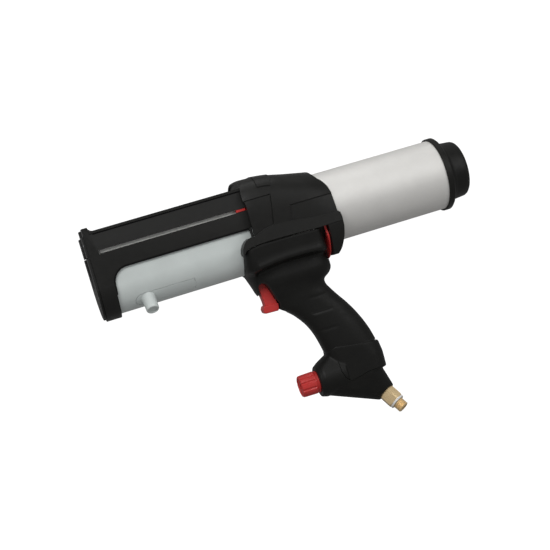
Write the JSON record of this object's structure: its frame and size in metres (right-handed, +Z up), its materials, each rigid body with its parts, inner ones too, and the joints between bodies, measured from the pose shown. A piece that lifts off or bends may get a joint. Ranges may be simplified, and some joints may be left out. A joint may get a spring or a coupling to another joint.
{
  "type": "pneumatic dual cartridge dispensing gun",
  "caption": "Pistol-grip pneumatic gun with an open cartridge carriage, twin push rods, air cylinder, trigger valve and pressure regulator.",
  "frame": {"origin": "on the barrel axis, at the outer face of the carriage's front wall, in the middle of the outlet slot", "axes": "+X is the dispensing direction along the barrel, +Z is up, +Y is the gun's left side, where the indicator slot is"},
  "size_m": [0.4126, 0.09, 0.2833],
  "materials": {
    "black_plastic": "satin, finely grained",
    "soft_black": "soft matt grip",
    "grey_blue_plastic": "satin",
    "red_plastic": "satin",
    "cream_plastic": "satin",
    "anodised_aluminium": "satin anodised",
    "steel": "ground",
    "brass": "turned",
    "seal_rubber": "smooth",
    "white_plastic": "smooth"
  },
  "bodies": {
    "gun": {"carriage_frame": "black_plastic", "nose_plate": "black_plastic", "nose_pads": "black_plastic", "nose_screws": "steel", "cradle": "grey_blue_plastic", "indicator_rail": "cream_plastic", "top_cover": "black_plastic", "housing_left": "black_plastic", "housing_right": "black_plastic", "housing_screws": "steel", "front_head": "anodised_aluminium", "head_seal": "seal_rubber", "rod_seals": "seal_rubber", "cylinder_tube": "anodised_aluminium", "end_flange": "black_plastic", "end_seal": "seal_rubber", "end_cap": "black_plastic", "handle_left": "soft_black", "handle_right": "soft_black", "handle_screws": "steel", "trigger_pin": "steel", "trigger_spring": "steel", "valve_body": "anodised_aluminium", "lever_pins": "steel", "feed_pipe": "white_plastic", "drive_pipe": "white_plastic", "regulator_body": "soft_black", "bonnet_bush": "anodised_aluminium", "regulator_spring": "steel", "diaphragm": "seal_rubber", "regulator_poppet": "brass", "inlet_fitting": "brass", "inlet_washer": "white_plastic"},
    "ram": {"piston": "anodised_aluminium", "piston_seal": "seal_rubber", "rod_bolts": "steel", "push_rods": "steel", "push_disc_upper": "black_plastic", "push_disc_lower": "black_plastic", "disc_bolts": "steel", "rod_bridge": "steel", "indicator": "red_plastic"},
    "trigger": {"trigger": "red_plastic"},
    "spool": {"valve_spool": "steel", "spool_seals": "seal_rubber"},
    "lever": {"retract_lever": "red_plastic"},
    "knob": {"regulator_knob": "red_plastic", "adjusting_screw": "steel"},
    "seat": {"spring_seat": "steel"},
    "latch": {"latch_tongue": "grey_blue_plastic", "latch_knob": "grey_blue_plastic"}
  },
  "joints": [
    {"name": "ram_travel", "type": "slide", "parent": "gun", "child": "ram", "axis": [1, 0, 0], "range_m": [0, 0.142]},
    {"name": "trigger_pull", "type": "hinge", "parent": "gun", "child": "trigger", "pos_m": [-0.163, 0, -0.05], "axis": [0, 1, 0], "range_deg": [0, 9], "stiffness_Nm_per_rad": 0.8, "springref_deg": -8.59, "deforming": ["trigger_spring"]},
    {"name": "spool_travel", "type": "slide", "parent": "gun", "child": "spool", "axis": [-1, 0, 0], "range_m": [0, 0.0035]},
    {"name": "lever_press", "type": "hinge", "parent": "gun", "child": "lever", "pos_m": [-0.238, 0, -0.012], "axis": [0, -1, 0], "range_deg": [0, 4], "stiffness_Nm_per_rad": 0.5, "springref_deg": -5.73},
    {"name": "knob_turn", "type": "hinge", "parent": "gun", "child": "knob", "pos_m": [-0.181, 0, -0.173], "axis": [1, 0, 0], "range_deg": [0, 1080]},
    {"name": "seat_travel", "type": "slide", "parent": "gun", "child": "seat", "axis": [-1, 0, 0], "range_m": [0, 0.0031], "deforming": ["regulator_spring"]},
    {"name": "latch_flex", "type": "hinge", "parent": "gun", "child": "latch", "pos_m": [-0.095, 0.01914, -0.03552], "axis": [0, 0.7501, 0.6613], "range_deg": [0, 6], "stiffness_Nm_per_rad": 1.5}
  ],
  "couplings": [
    {"joint": "spool_travel", "follows": "trigger_pull", "m_per_rad": 0.022},
    {"joint": "seat_travel", "follows": "knob_turn", "m_per_rad": 0.00015915}
  ]
}
